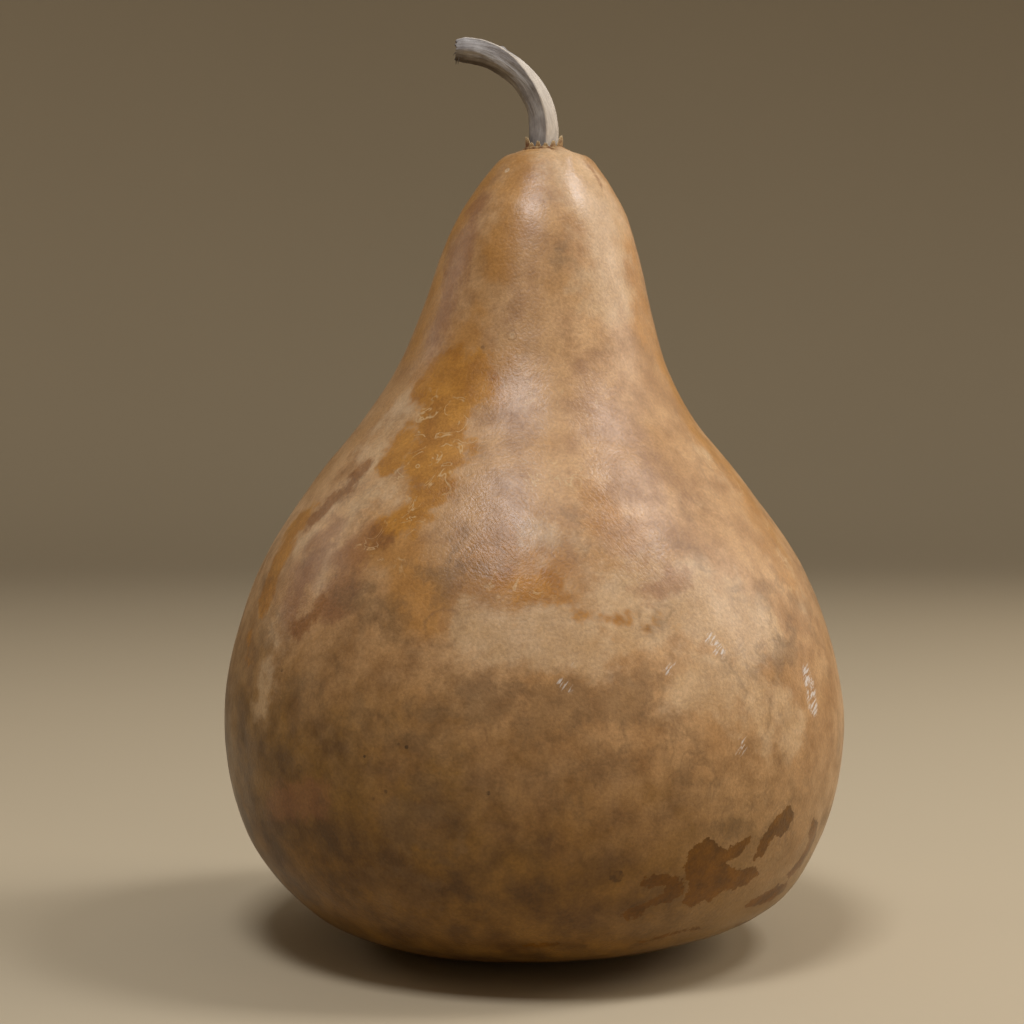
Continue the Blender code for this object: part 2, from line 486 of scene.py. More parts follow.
FAR_SIDE = (
    Scatter(Stain.HONEY, 8, (85, 205), (4.0, 8.0), 26),
    Scatter(Stain.AMBER, 7, (80, 200), (2.5, 8.0), 24),
    Scatter(Stain.UMBER, 5, (90, 150), (1.4, 2.6), 20),
    Scatter(Stain.MAUVE, 6, (85, 195), (4.0, 8.0), 18),
    Scatter(Stain.BUFF, 8, (80, 205), (2.5, 7.0), 22),
    Scatter(Stain.MOULD, 10, (50, 190), (4.0, 8.0), 16),
    Scatter(Stain.VEINS, 7, (95, 165), (4.0, 8.0), 14),
    Scatter(Stain.BARE, 16, (12, 46), (0.9, 3.2), 9),
    Scatter(Stain.SCUFF, 6, (60, 95), (0.9, 1.8), 4),
    Scatter(Stain.PUCKER, 4, (105, 140), (6.0, 9.0), 12),
)
FAR_TURNS = (14, 166)        # the far side, between the two flanks


@dataclass(frozen=True)
class Mark:
    """A single round mark on the skin: a ring where it has a band, or else a filled spot."""

    turn: float
    height: float
    radius: float            # mm
    band: float              # mm, the half width of a ring
    shade: str
    cover: float


MARKS = (
    Mark(-106, 91.5, 4.4, 0.9, "#77593c", 0.5),
    Mark(-106, 92.5, 1.6, 0.0, "#96683a", 0.4),
    Mark(-134, 56, 0.9, 0.35, "#4a341c", 0.75),
    Mark(-134, 56, 2.4, 0.5, "#7c5a36", 0.4),
    Mark(-99, 67, 2.4, 0.5, "#6d4d33", 0.4),
    Mark(-75, 33, 1.6, 0.0, "#4a3016", 0.75),
    Mark(-84, 109, 1.9, 0.35, "#86664a", 0.5),
    Mark(-98, 162, 1.2, 0.3, "#77583a", 0.6),
    Mark(-98, 162, 0.7, 0.0, "#c9aa82", 0.55),
    Mark(-128, 98, 2.2, 0.4, "#735640", 0.4),
    Mark(-131, 122, 2.0, 0.4, "#b5824a", 0.5),
    Mark(-111, 64, 0.4, 0.0, "#33251a", 0.85),
    Mark(-112.5, 64.5, 0.25, 0.0, "#33251a", 0.8),
    Mark(-119, 61, 0.3, 0.0, "#33251a", 0.8),
    Mark(-97, 54, 0.4, 0.0, "#33251a", 0.85),
    Mark(-115, 53, 0.4, 0.0, "#33251a", 0.7),
    Mark(-117.5, 51, 0.35, 0.0, "#33251a", 0.7),
    Mark(-141, 79, 0.4, 0.0, "#33251a", 0.6),
    Mark(-111, 159, 0.5, 0.0, "#4f3a28", 0.6),
    Mark(-74, 184, 1.0, 0.0, "#6f5a42", 0.45),
    Mark(-116, 206, 0.6, 0.0, "#cdb694", 0.7),
)


@dataclass(frozen=True)
class Layer:
    """How one kind of stain looks: two shades, and how its edge runs, in mm."""

    kind: Stain
    shades: tuple[str, str]
    fade: float              # the width over which the edge blends
    ragged: float            # how far the edge wanders
    lobe: float              # the size of the edge's lobes
    cover: float             # how much of the skin under it is hidden


# ---------------------------------------------------------------- the fruit

@dataclass(frozen=True)
class GourdRind:
    """Dry gourd rind: a woody shell under a thin waxy skin, cured in open air.

    To the eye it is tan leather with a satin sheen, clouded in buff, orange and brown; it darkens
    towards the ground and on the left partly with painted shade, and its paler right is partly painted
    light.
    """

    light: str = "#c99f70"
    middle: str = "#b08453"
    deep: str = "#8d6238"
    low_light: str = "#866128"
    low_dark: str = "#50340f"
    low_pale_and_lit: str = "#8f7145"
    contour: str = "#59452f"
    thread: str = "#cfae7e"
    scratch: str = "#dcd4ca"
    roughness: float = 0.36
    grain: float = 0.75      # the skin's pebbles
    brown_and_shade_line: tuple[float, float] = (102.0, 36.0)   # where the brown and the painted shade start, and where they are whole
    pale_lit_side: tuple[float, float] = (50.0, 84.0)    # the same for its paler side towards +X, which is partly painted light
    layers: tuple[Layer, ...] = (
        Layer(Stain.HONEY, ("#bb8440", "#a06c2c"), 10.0, 6.0, 10.0, 0.7),
        Layer(Stain.BUFF, ("#d6b790", "#c3a074"), 8.0, 6.0, 7.0, 0.6),
        Layer(Stain.MAUVE, ("#98683f", "#835536"), 5.0, 5.0, 7.0, 0.6),
        Layer(Stain.MOULD, ("#866a49", "#6c5033"), 6.0, 7.0, 5.0, 0.45),
        Layer(Stain.AMBER, ("#b97f30", "#9a6320"), 3.2, 4.0, 6.0, 0.85),
        Layer(Stain.UMBER, ("#93602f", "#754822"), 2.6, 2.2, 4.0, 0.75),
        Layer(Stain.BARE, ("#7e5000", "#5e3a00"), 0.3, 1.1, 1.8, 0.96),
    )

    def material(self, places: dict[Mark, Vector]) -> bpy.types.Material:
        """Write the rind's material.

        Args:
            places: Where on the skin each single mark lies, in mm.

        Returns:
            The material.
        """
        r = Recipe("waxy_gourd_rind")
        cloud = r.add("TexNoise", {"Scale": 1 / 26, "Detail": 4.0, "Roughness": 0.6, "Distortion": 0.4})
        spot = r.add("TexNoise", {"Scale": 1 / 8, "Detail": 5.0, "Roughness": 0.62})
        fine = r.add("TexNoise", {"Scale": 1 / self.grain, "Detail": 3.0, "Roughness": 0.6})
        cloudy = r.add("MapRange", {"Value": cloud, "From Min": 0.36, "From Max": 0.64})
        spotty = r.add("MapRange", {"Value": spot, "From Min": 0.42, "From Max": 0.7, "To Max": 0.7})
        colour = r.add("Mix", {"Factor": cloudy, "A": self.light, "B": self.middle}, data_type="RGBA")
        colour = r.add("Mix", {"Factor": spotty, "A": colour, "B": self.deep}, data_type="RGBA")
        colour = self.browned_and_shaded(r, colour, cloud, spot)
        for layer in self.layers:
            colour = self.stained(r, colour, layer)
        colour = self.contoured(r, colour)
        colour = self.threaded(r, colour)
        colour = self.marked(r, colour, places)
        shade = r.add("MapRange", {"Value": fine, "From Min": 0.25, "From Max": 0.75,
                                   "To Min": 0.81, "To Max": 1.17})
        colour = r.add("VectorMath", {0: colour, "Scale": shade}, operation="SCALE")
        scratch = self.scratches(r)
        colour = r.add("Mix", {"Factor": scratch, "A": colour, "B": self.scratch}, data_type="RGBA")
        rough = r.add("MapRange", {"Value": spot, "From Min": 0.3, "From Max": 0.7,
                                   "To Min": self.roughness - 0.05, "To Max": self.roughness + 0.07})
        rough = r.add("Math", {0: scratch, 1: 0.3, 2: rough}, operation="MULTIPLY_ADD")
        return r.finish(Base_Color=colour, Roughness=rough, IOR=1.4, Normal=self.pebbled(r))

    def browned_and_shaded(
        self,
        r: Recipe,
        colour: bpy.types.NodeSocket,
        cloud: bpy.types.NodeSocket,
        spot: bpy.types.NodeSocket,
    ) -> bpy.types.NodeSocket:
        """Darken the skin towards the ground and on the left, in an uneven front: brown mottling that is
        partly painted shade, with a paler side towards +X that is partly painted light.

        The noise that makes the front uneven adds about 10 mm to a height before it is compared with
        brown_and_shade_line, and about 30 mm to a place along X before it is compared with pale_lit_side.

        Args:
            r: The material being written.
            colour: The skin's colour so far.
            cloud: The pattern that makes the front uneven.
            spot: The pattern that mottles the brown.

        Returns:
            The new colour.
        """
        # Tilted towards +X, so that the dark front reaches higher on the left: painted shade there.
        slanting_up = (0.3, 0.0, 1.0)
        height = r.add("VectorMath", {0: r.place, 1: slanting_up}, out="Value", operation="DOT_PRODUCT")
        uneven = r.add("Math", {0: cloud, 1: 50.0, 2: height}, operation="MULTIPLY_ADD")
        uneven = r.add("Math", {0: spot, 1: -30.0, 2: uneven}, operation="MULTIPLY_ADD")
        down = r.add("MapRange", {"Value": uneven, "From Min": self.brown_and_shade_line[0],
                                  "From Max": self.brown_and_shade_line[1], "To Max": 0.92},
                     interpolation_type="SMOOTHSTEP")
        mottle = r.add("TexNoise", {"Scale": 1 / 11, "Detail": 5.0, "Roughness": 0.6})
        mottle = r.add("MapRange", {"Value": mottle, "From Min": 0.36, "From Max": 0.64})
        brown = r.add("Mix", {"Factor": mottle, "A": self.low_dark, "B": self.low_light}, data_type="RGBA")
        # Paler towards +X: partly painted light from the right.
        side = r.add("SeparateXYZ", {0: r.place}, out="X")
        side = r.add("Math", {0: cloud, 1: 60.0, 2: side}, operation="MULTIPLY_ADD")
        side = r.add("MapRange", {"Value": side, "From Min": self.pale_lit_side[0],
                                  "From Max": self.pale_lit_side[1], "To Max": 0.85},
                     interpolation_type="SMOOTHSTEP")
        brown = r.add("Mix", {"Factor": side, "A": brown, "B": self.low_pale_and_lit}, data_type="RGBA")
        return r.add("Mix", {"Factor": down, "A": colour, "B": brown}, data_type="RGBA")

    def contoured(self, r: Recipe, colour: bpy.types.NodeSocket) -> bpy.types.NodeSocket:
        """Draw the broken dark outlines that damp left round its spots.

        Args:
            r: The material being written.
            colour: The skin's colour so far.

        Returns:
            The new colour.
        """
        line = r.add("TexNoise", {"Scale": 1 / 10, "Detail": 4.0, "Roughness": 0.6, "Distortion": 0.5})
        line = r.lines(line, 0.08, 0.0, 0.3)
        zone = r.add("TexNoise", {"Scale": 1 / 17, "Detail": 3.0})
        zone = r.add("MapRange", {"Value": zone, "From Min": 0.5, "From Max": 0.62})
        height = r.add("SeparateXYZ", {0: r.place}, out="Z")
        height = r.add("MapRange", {"Value": height, "From Min": 150.0, "From Max": 105.0, "To Min": 0.25})
        line = r.add("Math", {0: line, 1: zone}, operation="MULTIPLY")
        line = r.add("Math", {0: line, 1: height}, operation="MULTIPLY")
        return r.add("Mix", {"Factor": line, "A": colour, "B": self.contour}, data_type="RGBA")

    def stained(self, r: Recipe, colour: bpy.types.NodeSocket, layer: Layer) -> bpy.types.NodeSocket:
        """Lay one kind of stain over the colour, with its ragged edge.

        Args:
            r: The material being written.
            colour: The skin's colour so far.
            layer: The kind of stain and its look.

        Returns:
            The new colour.
        """
        inside = r.add("Attribute", out="Fac", attribute_name=layer.kind.value)
        edge = r.add("TexNoise", {"Scale": 1 / layer.lobe, "Detail": 6.0, "Roughness": 0.62})
        edge = r.add("Math", {0: edge, 1: 0.5}, operation="SUBTRACT")
        inside = r.add("Math", {0: edge, 1: 4 * layer.ragged, 2: inside}, operation="MULTIPLY_ADD")
        mask = r.add("MapRange", {"Value": inside, "From Min": -layer.fade / 2, "From Max": layer.fade / 2,
                                  "To Max": layer.cover}, interpolation_type="SMOOTHSTEP")
        tone = r.add("TexNoise", {"Scale": 1 / (0.6 * layer.lobe + 3.5), "Detail": 5.0, "Roughness": 0.6})
        tone = r.add("MapRange", {"Value": tone, "From Min": 0.35, "From Max": 0.65})
        shade = r.add("Mix", {"Factor": tone, "A": layer.shades[0], "B": layer.shades[1]}, data_type="RGBA")
        return r.add("Mix", {"Factor": mask, "A": colour, "B": shade}, data_type="RGBA")

    def threaded(self, r: Recipe, colour: bpy.types.NodeSocket) -> bpy.types.NodeSocket:
        """Draw short cream squiggles where threads of mould grew.

        Args:
            r: The material being written.
            colour: The skin's colour so far.

        Returns:
            The new colour.
        """
        zone = r.add("Attribute", out="Fac", attribute_name=Stain.VEINS.value)
        zone = r.add("MapRange", {"Value": zone, "From Min": -4.0, "From Max": 2.0, "To Max": 0.62})
        line = r.add("TexNoise", {"Scale": 1 / 7, "Detail": 2.0, "Distortion": 1.4})
        line = r.lines(line, 0.026, 0.006)
        broken = r.add("TexNoise", {"Scale": 1 / 4.5, "Detail": 2.0})
        broken = r.add("MapRange", {"Value": broken, "From Min": 0.47, "From Max": 0.56})
        line = r.add("Math", {0: line, 1: broken}, operation="MULTIPLY")
        line = r.add("Math", {0: line, 1: zone}, operation="MULTIPLY")
        return r.add("Mix", {"Factor": line, "A": colour, "B": self.thread}, data_type="RGBA")

    def marked(
        self, r: Recipe, colour: bpy.types.NodeSocket, places: dict[Mark, Vector]
    ) -> bpy.types.NodeSocket:
        """Draw the few round marks and the pits, each at its own place on the skin.

        Args:
            r: The material being written.
            colour: The skin's colour so far.
            places: Where on the skin each mark lies, in mm.

        Returns:
            The new colour.
        """
        for mark, place in places.items():
            away = r.add("VectorMath", {0: r.place, 1: tuple(place)}, out="Value", operation="DISTANCE")
            wobble = r.add("TexNoise", {"Scale": 1 / max(mark.radius, 1.0), "Detail": 3.0})
            away = r.add("Math", {0: wobble, 1: 0.8 * mark.radius, 2: away}, operation="MULTIPLY_ADD")
            away = r.add("Math", {0: away, 1: 1.4 * mark.radius}, operation="SUBTRACT")
            if mark.band:
                away = r.add("Math", {0: away}, operation="ABSOLUTE")
            width = mark.band or 0.25
            mask = r.add("MapRange", {"Value": away, "From Min": width, "From Max": -0.2 * width,
                                      "To Max": mark.cover})
            broken = r.add("MapRange", {"Value": wobble, "From Min": 0.35, "From Max": 0.6,
                                        "To Min": 1.0, "To Max": 0.4})
            mask = r.add("Math", {0: mask, 1: broken}, operation="MULTIPLY")
            colour = r.add("Mix", {"Factor": mask, "A": colour, "B": mark.shade}, data_type="RGBA")
        return colour

    def scratches(self, r: Recipe) -> bpy.types.NodeSocket:
        """Find where the white scuffs are: short scratches that run side by side.

        Args:
            r: The material being written.

        Returns:
            How white the skin is.
        """
        zone = r.add("Attribute", out="Fac", attribute_name=Stain.SCUFF.value)
        zone = r.add("MapRange", {"Value": zone, "From Min": -0.8, "From Max": 0.9})
        turned = r.add("Mapping", {"Vector": r.place, "Rotation": (0.0, math.radians(-52), 0.0),
                                   "Scale": (2.2, 2.2, 0.42)}, vector_type="TEXTURE")
        line = r.add("TexNoise", {"Vector": turned, "Scale": 0.75, "Detail": 3.0, "Roughness": 0.6})
        line = r.add("Math", {0: zone, 1: 0.16, 2: line}, operation="MULTIPLY_ADD")
        line = r.add("MapRange", {"Value": line, "From Min": 0.62, "From Max": 0.72, "To Max": 0.8})
        return r.add("Math", {0: line, 1: zone}, operation="MULTIPLY")

    def pebbled(self, r: Recipe) -> bpy.types.NodeSocket:
        """Raise the skin's fine grain, and the slanting wrinkles where it shrank.

        Args:
            r: The material being written.

        Returns:
            The bent normal.
        """
        pebbles = r.add("TexNoise", {"Scale": 1 / self.grain, "Detail": 2.5, "Roughness": 0.55})
        slant = r.add("Mapping", {"Vector": r.place, "Rotation": (0.0, math.radians(50), 0.0),
                                  "Scale": (2.4, 1.0, 0.6)}, vector_type="TEXTURE")
        wrinkles = r.add("TexNoise", {"Vector": slant, "Scale": 1.0, "Detail": 2.0, "Distortion": 0.6})
        zone = r.add("Attribute", out="Fac", attribute_name=Stain.PUCKER.value)
        zone = r.add("MapRange", {"Value": zone, "From Min": -5.0, "From Max": 4.0,
                                  "To Min": 0.02, "To Max": 0.11})
        height = r.add("Math", {0: pebbles, 1: 0.085}, operation="MULTIPLY")
        height = r.add("Math", {0: wrinkles, 1: zone, 2: height}, operation="MULTIPLY_ADD")
        return r.add("Bump", {"Strength": 1.0, "Distance": MM, "Height": height})


@dataclass
class Fruit:
    """The fruit: one fine skin through the cross-sections of its solid, with its stains."""

    node: str = "gourd_body"
    side_rows: int = 262
    foot_rows: int = 20
    crown_rows: int = 5
    columns: int = 330
    lumps: float = 0.4       # the height of the broad unevenness
    dimples: float = 0.09    # the height of the small unevenness
    pleats: int = 9          # round the crown
    pleat_height: float = 0.09
    rib: tuple[float, float, float] = (-56, 11, 0.7)            # on the crown: turn, half width, rise
    groove: tuple[float, float, float] = (-73, 6, 0.45)         # beside it: turn, half width, depth
    dent: tuple[float, float, float, float] = (-35, 207.5, 3.0, 0.8)     # turn, height, size, depth
    lip_radius: float = 6.9  # the lip round the stem's foot
    lip_height: float = 0.75
    scar: tuple[float, float] = (5.0, 3.5)      # the blossom scar, beside the middle of the foot
    scar_creases: int = 11
    warp: float = 3.0        # how far noise bends a soft stain's outline
    crisp_warp: float = 0.5  # and a crisp one's
    finish: GourdRind = field(default_factory=GourdRind)
    shell: BVHTree = field(init=False)          # the smooth skin, on which the stains are placed

    def sections(self) -> np.ndarray:
        """Read the solid's cross-sections.

        Returns:
            Rings by height of points by turn, in mm.
        """
        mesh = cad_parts[self.node].data
        flat = np.empty(3 * len(mesh.vertices), np.float32)
        mesh.vertices.foreach_get("co", flat)
        points = np.unique(np.round(flat.reshape(-1, 3) / MM, 2), axis=0)
        rings = []
        for height in np.unique(points[:, 2]):
            ring = points[points[:, 2] == height]
            out = ring[:, :2] - ring[:, :2].mean(axis=0)
            turns = np.arctan2(out[:, 1], out[:, 0])
            half_step = math.pi / len(ring)
            rings.append(ring[np.argsort((turns + half_step) % math.tau)])
        return np.array(rings)

    def grid(self) -> np.ndarray:
        """Lay the fine skin through the cross-sections, closed over the foot and the crown.

        Returns:
            Rows of points in mm, from the middle of the foot to the middle of the crown.
        """
        side = refine(self.sections(), self.side_rows, closed=False)
        side = refine(side.swapaxes(0, 1), self.columns, closed=True).swapaxes(0, 1)
        discs = []
        for rim, count in ((side[0], self.foot_rows), (side[-1], self.crown_rows)):
            middle = rim.mean(axis=0)
            shares = (np.arange(count) + 0.35) / (count + 0.35)
            discs.append(middle + shares[:, None, None] * (rim - middle))
        return np.concatenate([discs[0], side, discs[1][::-1]])

    def on_skin(self, turn: float, height: float) -> Vector:
        """Find where the skin stands at a turn and a height.

        Args:
            turn: Degrees round the upright axis.
            height: Height in mm.

        Returns:
            The place in mm.
        """
        angle = math.radians(turn)
        away = Vector((math.cos(angle), math.sin(angle), 0.0))
        return self.shell.ray_cast(Vector((0.0, 0.0, height)), away)[0]

    def relief(self, grid: np.ndarray) -> np.ndarray:
        """Give the skin its unevenness, its crown and its blossom scar.

        Args:
            grid: The smooth skin in mm.

        Returns:
            The uneven skin.
        """
        along = np.roll(grid, -1, axis=1) - np.roll(grid, 1, axis=1)
        outward = np.cross(along, np.gradient(grid, axis=0))
        outward /= np.linalg.norm(outward, axis=2, keepdims=True)
        crown = grid[-1].mean(axis=0)
        rise = self.lumps * rough_noise(grid, 34, 2, 1.0) + self.dimples * rough_noise(grid, 9, 3, 2.0)
        rise += self.crown_rise(grid, crown)
        off_the_foot = ramp(grid[..., 2], 0.0, 4.0)
        moved = grid + (rise * off_the_foot)[..., None] * outward
        moved[..., 2] += self.scar_depth(grid) * (1 - off_the_foot)
        from_lip = np.hypot(grid[..., 0] - crown[0], grid[..., 1] - crown[1]) - self.lip_radius
        lip = np.exp(-(from_lip / 1.3) ** 2) * ramp(grid[..., 2], crown[2] - 9, crown[2] - 4)
        moved[..., 2] += self.lip_height * lip * (1 + 0.5 * rough_noise(grid, 3.5, 3, 6.0))
        moved[..., 2] = np.clip(moved[..., 2], 0.0, CAD_BOX[1][2] / MM)
        return moved

    def crown_rise(self, grid: np.ndarray, crown: np.ndarray) -> np.ndarray:
        """Shape the crown: faint pleats, one rib with a groove beside it, and a dent.

        Args:
            grid: The smooth skin in mm.
            crown: The middle of its top.

        Returns:
            How far each point moves outward in mm.
        """
        x, y = grid[..., 0] - crown[0], grid[..., 1] - crown[1]
        turn = np.arctan2(y, x)
        near = ramp(grid[..., 2], crown[2] - 16, crown[2] - 3) * ramp(np.hypot(x, y), 17, 6)
        folds = np.cos(self.pleats * turn + 1.5 * rough_noise(grid, 12, 2, 3.0))
        rise = near * (self.pleat_height * folds - 0.1)
        for (middle, half_width, height), sign in ((self.rib, 1), (self.groove, -1)):
            rise += sign * height * near * np.exp(-((np.degrees(turn) - middle) / half_width) ** 2)
        dent_turn, dent_height, size, depth = self.dent
        away = np.linalg.norm(grid - np.array(self.on_skin(dent_turn, dent_height)), axis=-1)
        return rise - depth * np.exp(-(away / size) ** 2)

    def scar_depth(self, grid: np.ndarray) -> np.ndarray:
        """Sink the blossom scar into the foot, with a nub in it and creases round it.

        Args:
            grid: The smooth skin in mm.

        Returns:
            How far each point of the foot moves up in mm.
        """
        x, y = grid[..., 0] - self.scar[0], grid[..., 1] - self.scar[1]
        away = np.hypot(x, y)
        creases = 0.5 + 0.5 * np.cos(self.scar_creases * np.arctan2(y, x))
        sunk = 0.9 * ramp(away, 3.6, 1.2) - 0.7 * ramp(away, 1.5, 0.3)
        sunk += 0.35 * ramp(away, 12, 3) * creases
        return sunk + 0.12 * (1 + rough_noise(grid, 6, 3, 4.0)) * ramp(away, 4, 8)

    def strokes(self) -> list[Stroke]:
        """Gather the stains: those listed, and those strewn over the far side.

        Returns:
            All the strokes.
        """
        rng = np.random.default_rng(SEED)
        strokes = list(STROKES)
        for scatter in FAR_SIDE:
            for _ in range(scatter.count):
                turn = rng.uniform(*FAR_TURNS)
                height = rng.uniform(*scatter.heights)
                lean = rng.uniform(0, math.tau)
                half_width = rng.uniform(*scatter.half_widths)
                span = scatter.length * rng.uniform(0.15, 0.5)
                reach = self.on_skin(turn, height).xy.length
                path = []
                for along in (-span, 0.0, span):
                    bend = rng.uniform(-0.25, 0.25) * span
                    across = along * math.cos(lean) - bend * math.sin(lean)
                    up = along * math.sin(lean) + bend * math.cos(lean)
                    spot_height = float(np.clip(height + up, 8.0, 208.0))
                    path.append((turn + math.degrees(across / reach), spot_height))
                strokes.append(Stroke(scatter.kind, half_width, tuple(path)))
        return strokes

    def along(self, stroke: Stroke) -> list[Vector]:
        """Place points on the skin along a stroke, so close together that they read as a band.

        Args:
            stroke: The stain.

        Returns:
            Places in mm.
        """
        places = [self.on_skin(*stroke.path[0])]
        for start, end in zip(stroke.path, stroke.path[1:]):
            length = (self.on_skin(*end) - self.on_skin(*start)).length
            spacing = max(0.45 * stroke.half_width, 0.6)
            steps = max(1, math.ceil(length / spacing))
            for share in np.arange(1, steps + 1) / steps:
                turn, height = np.array(start) + share * (np.array(end) - np.array(start))
                places.append(self.on_skin(turn, height))
        return places

    def inside(self, patch: Patch, points: np.ndarray) -> np.ndarray:
        """Measure how far inside a patch's outline points lie, seen square on.

        Args:
            patch: The stain.
            points: Places in mm.

        Returns:
            One depth in mm a point, below 0 outside.
        """
        outline = np.array([self.on_skin(*corner) for corner in patch.outline])
        middle = outline.mean(axis=0)
        facing = np.array(self.shell.find_nearest(Vector(middle))[1])
        across = np.cross(UP, facing)
        across /= np.linalg.norm(across)
        plane = np.stack([across, np.cross(facing, across)], axis=1)
        flat = (points - middle) @ plane
        corners = (outline - middle) @ plane
        away = np.full(len(points), FAR_OUT)
        within = np.zeros(len(points), bool)
        for start, end in zip(corners, np.roll(corners, -1, axis=0)):
            edge = end - start
            share = np.clip(((flat - start) @ edge) / (edge @ edge), 0.0, 1.0)
            away = np.minimum(away, np.linalg.norm(flat - start - share[:, None] * edge, axis=1))
            spans = (start[1] > flat[:, 1]) != (end[1] > flat[:, 1])
            rise = edge[1] or 1.0
            within ^= spans & (flat[:, 0] < start[0] + edge[0] * (flat[:, 1] - start[1]) / rise)
        near = np.linalg.norm(points - middle, axis=1) < FAR_OUT
        return np.where(near, np.where(within, away, -away), -FAR_OUT)

    def stain(self, piece: bpy.types.Object, points: np.ndarray) -> None:
        """Store how far inside each kind of stain every point of the skin lies, in mm.

        Args:
            piece: The skin.
            points: Its vertices in mm.
        """
        warp = np.stack([rough_noise(points, 14, 2, 5.0 + axis) for axis in range(3)], axis=1)
        depths = {kind: np.full(len(points), -FAR_OUT) for kind in Stain}
        for stroke in self.strokes():
            is_crisp = stroke.kind in (Stain.BARE, Stain.SCUFF)
            warped = points + (self.crisp_warp if is_crisp else self.warp) * warp
            depth = depths[stroke.kind]
            for place in self.along(stroke):
                away = np.linalg.norm(warped - np.array(place), axis=1)
                np.maximum(depth, stroke.half_width - away, out=depth)
        for patch in PATCHES:
            depth = depths[patch.kind]
            np.maximum(depth, self.inside(patch, points), out=depth)
        for kind, depth in depths.items():
            set_field(piece, kind.value, depth)

    def unwrap(self, piece: bpy.types.Object, grid: np.ndarray) -> None:
        """Lay the skin out flat by turn and by length along the outline, cut at the back.

        Args:
            piece: The skin.
            grid: Its rows of points in mm.
        """
        rows = len(grid)
        mesh = piece.data
        corners = np.empty(len(mesh.loops), np.int32)
        mesh.loops.foreach_get("vertex_index", corners)
        starts = np.empty(len(mesh.polygons), np.int32)
        mesh.polygons.foreach_get("loop_start", starts)
        steps = np.linalg.norm(np.diff(grid[:, 0], axis=0), axis=1)
        reach = np.concatenate([[0.0], np.cumsum(steps)]) + steps[0]
        reach = reach / (reach[-1] + steps[-1])
        row, column = np.divmod(corners, self.columns)
        is_end = row == rows         # the two points in the middle of the foot and of the crown
        v = np.where(is_end, column, reach[np.minimum(row, rows - 1)])
        u = ((column - self.columns // 4) % self.columns) / self.columns
        u = np.where(is_end, -1.0, u)
        face = np.repeat(np.arange(len(starts)), np.diff(np.append(starts, len(corners))))
        # A face across the cut has corners at both edges of the map: the low ones move up by 1.
        widest = np.full(len(starts), -1.0)
        np.maximum.at(widest, face, u)
        u = np.where((widest[face] > 0.9) & (u < 0.1) & ~is_end, u + 1, u)
        np.maximum.at(widest, face, u)
        u = np.where(is_end, widest[face] - 0.5 / self.columns, u)
        margin = 0.002
        u = margin + (1 - 2 * margin) * u * self.columns / (self.columns + 1)
        flat = np.stack([u, v], axis=1)
        mesh.uv_layers.new(name="OFBake").data.foreach_set("uv", flat.astype(np.float32).ravel())

    def build(self) -> bpy.types.Object:
        """Make the skin, give it its stains and dress it.

        Returns:
            The finished fruit.
        """
        grid = self.grid()
        faces = closed_faces(len(grid), self.columns)
        self.shell = BVHTree.FromPolygons(with_ends(grid).tolist(), faces)
        points = with_ends(self.relief(grid))
        piece = new_mesh("gourd_rind", points, faces)
        self.stain(piece, points)
        self.unwrap(piece, grid)
        places = {mark: self.on_skin(mark.turn, mark.height) for mark in MARKS}
        piece.data.materials.append(self.finish.material(places))
        fit_to_body(piece, self.node)
        return piece


# ---------------------------------------------------------------- the stem

